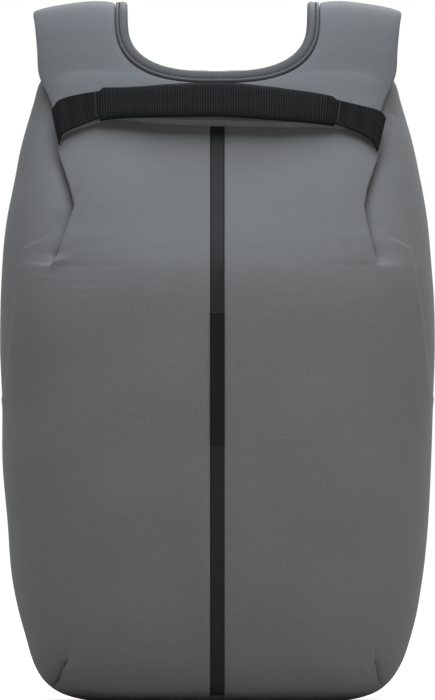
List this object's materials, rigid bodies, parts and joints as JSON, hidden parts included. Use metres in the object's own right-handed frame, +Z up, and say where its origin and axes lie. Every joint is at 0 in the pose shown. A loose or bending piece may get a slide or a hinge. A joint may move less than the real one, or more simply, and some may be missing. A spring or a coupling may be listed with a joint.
{
  "type": "anti-theft backpack",
  "caption": "Soft backpack with a smooth hollow body, a yoke with a U-shaped neck that folds over into shoulder straps, and a webbing handle.",
  "frame": {"origin": "middle of the bounding box, on the ground under the bag's flat base", "axes": "+Z up, -Y towards the front of the bag, +X to the right as seen from the front"},
  "size_m": [0.3, 0.2435, 0.4832],
  "materials": {
    "body_cloth": "matt grey coated cloth",
    "yoke_cloth": "matt grey coated cloth, slightly cool",
    "binding_cloth": "smooth grey rolled cloth",
    "strap_cloth": "matt grey coated cloth",
    "panel_mesh": "dark padded mesh",
    "coated_strip": "satin dark coated strip",
    "label": "satin black, bare",
    "webbing": "black ribbed webbing",
    "grip_webbing": "black ribbed webbing sleeve",
    "buckle_plastic": "black moulded plastic"
  },
  "bodies": {
    "root": {"main_shell": "body_cloth", "back_panel": "panel_mesh", "centre_strip": "coated_strip", "label_tab": "label", "yoke": "yoke_cloth", "neck_binding": "binding_cloth", "handle_webbing": "webbing", "handle_grip": "grip_webbing", "shoulder_strap_left": "strap_cloth", "shoulder_strap_right": "strap_cloth", "adjuster_left": "buckle_plastic", "adjuster_right": "buckle_plastic", "strap_webbing_left": "webbing", "strap_webbing_right": "webbing", "webbing_anchor_left": "webbing", "webbing_anchor_right": "webbing"}
  },
  "joints": []
}
